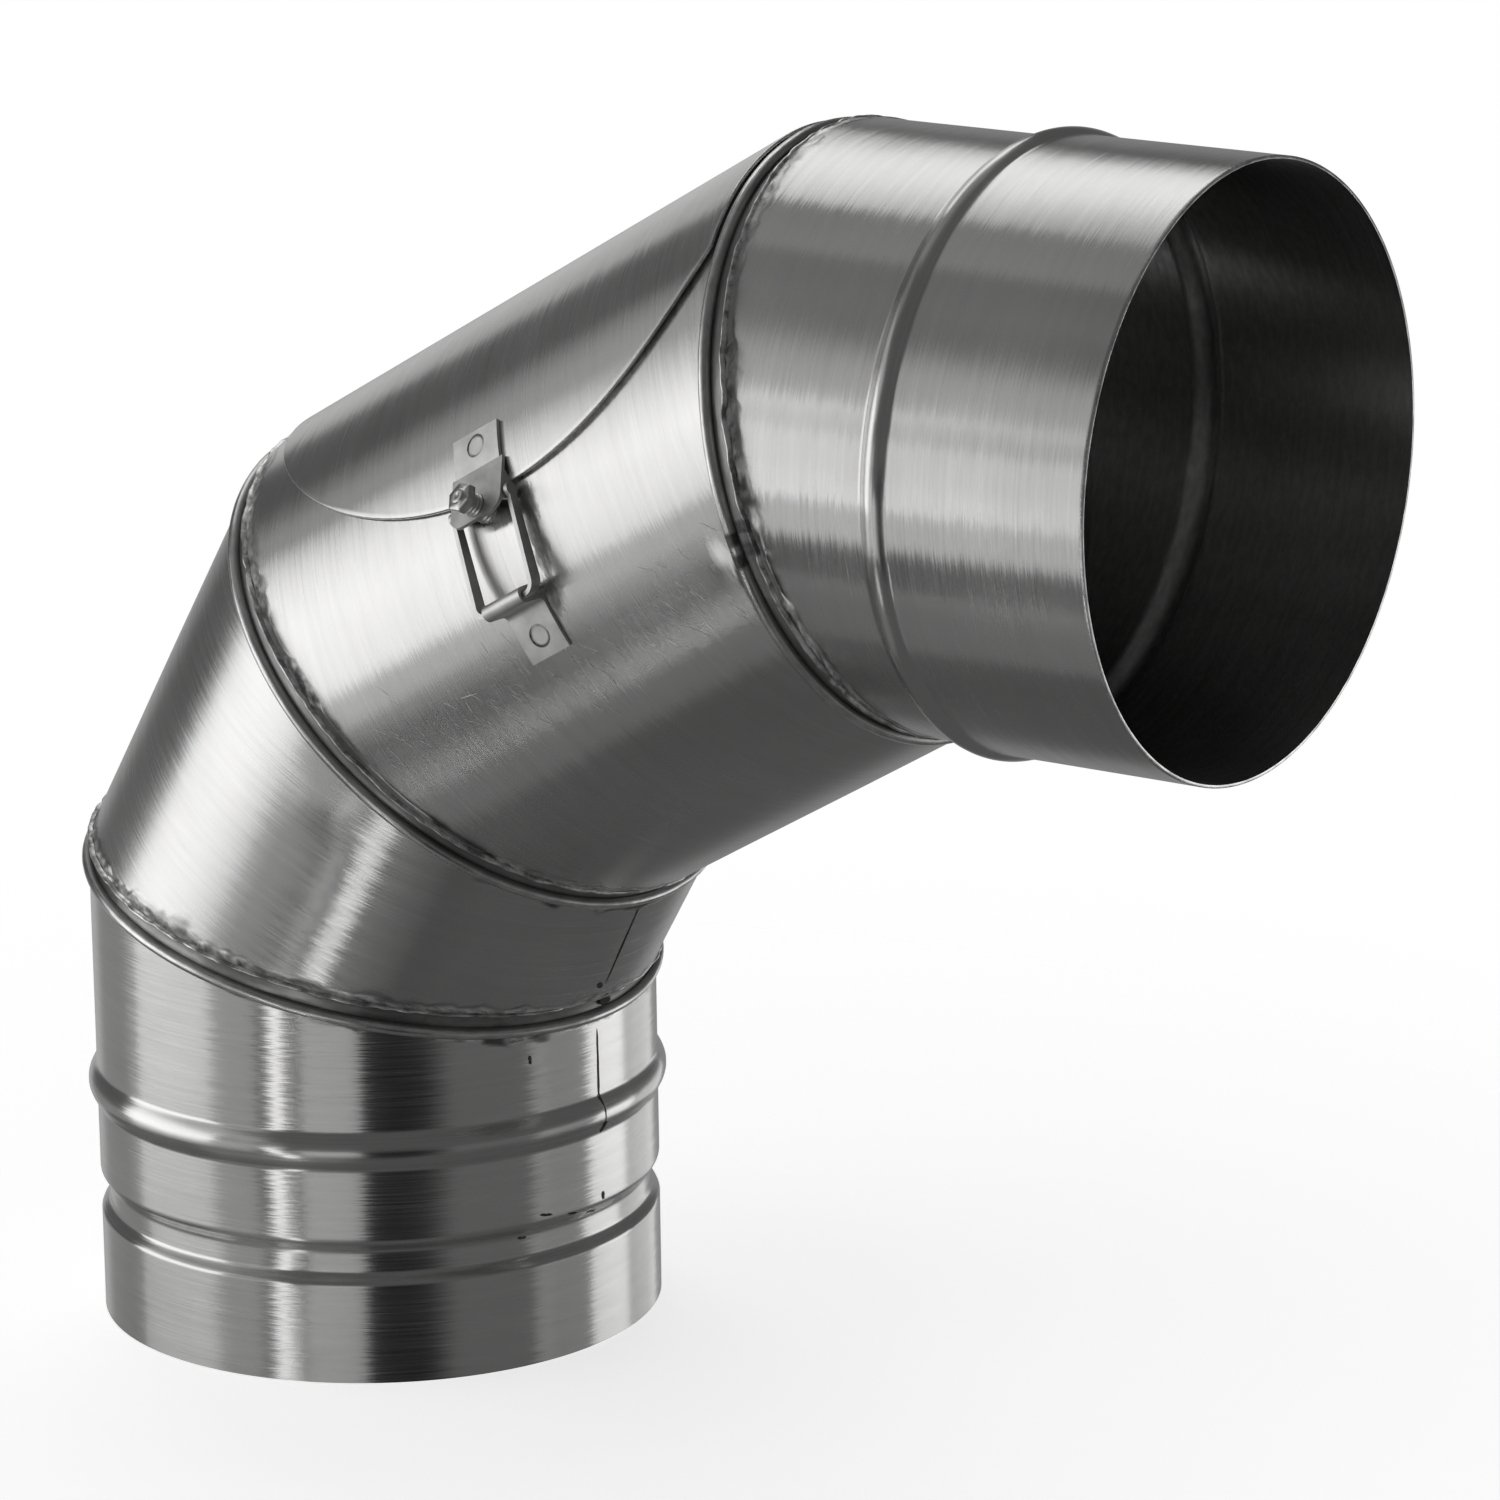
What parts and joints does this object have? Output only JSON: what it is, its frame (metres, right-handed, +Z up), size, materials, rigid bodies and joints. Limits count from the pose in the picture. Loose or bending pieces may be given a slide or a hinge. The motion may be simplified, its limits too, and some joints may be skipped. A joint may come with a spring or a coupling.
{
  "type": "adjustable flue elbow",
  "caption": "Segmented stainless flue elbow with swivel seams, a grooved male spigot, a female socket and an oval inspection cover on its heel held by screw latches.",
  "frame": {"origin": "centre of the lower spigot's rim, on the spigot's axis", "axes": "+Z up along the lower spigot, +X along the upper socket towards its open end, Y square to the plane of the bend"},
  "size_m": [0.3485, 0.1674, 0.3347],
  "materials": {
    "stainless_sheet": "circumferentially brushed stainless sheet",
    "latch_steel": "pressed stainless strip",
    "screw_steel": "turned stainless screw",
    "seal_tape": "woven glass-fibre tape"
  },
  "bodies": {
    "lower_spigot": {"lower_spigot": "stainless_sheet"},
    "lower_gore": {"lower_gore": "stainless_sheet"},
    "inspection_gore": {"inspection_gore": "stainless_sheet", "inspection_cover": "stainless_sheet", "cover_gasket": "seal_tape", "near_anchor_bracket": "latch_steel", "near_latch_bail": "latch_steel", "near_keeper_hook": "latch_steel", "far_anchor_bracket": "latch_steel", "far_latch_bail": "latch_steel", "far_keeper_hook": "latch_steel"},
    "upper_socket": {"upper_socket": "stainless_sheet"},
    "near_screw": {"near_tension_screw": "screw_steel"},
    "far_screw": {"far_tension_screw": "screw_steel"}
  },
  "joints": [
    {"name": "seam_1", "type": "hinge", "parent": "lower_spigot", "child": "lower_gore", "pos_m": [0.00085, 0, 0.11127], "axis": [0.2588, 0, 0.9659], "continuous": true},
    {"name": "seam_2", "type": "hinge", "parent": "lower_gore", "child": "inspection_gore", "pos_m": [0.04088, 0, 0.18059], "axis": [0.7071, 0, 0.7071], "continuous": true},
    {"name": "seam_3", "type": "hinge", "parent": "inspection_gore", "child": "upper_socket", "pos_m": [0.17125, 0, 0.25586], "axis": [0.9659, 0, 0.2588], "continuous": true},
    {"name": "near_screw_turn", "type": "hinge", "parent": "inspection_gore", "child": "near_screw", "pos_m": [0.09658, -0.07603, 0.24205], "axis": [-0.3078, -0.788, 0.5332], "continuous": true},
    {"name": "far_screw_turn", "type": "hinge", "parent": "inspection_gore", "child": "far_screw", "pos_m": [0.09658, 0.07603, 0.24205], "axis": [-0.3078, 0.788, 0.5332], "continuous": true}
  ]
}
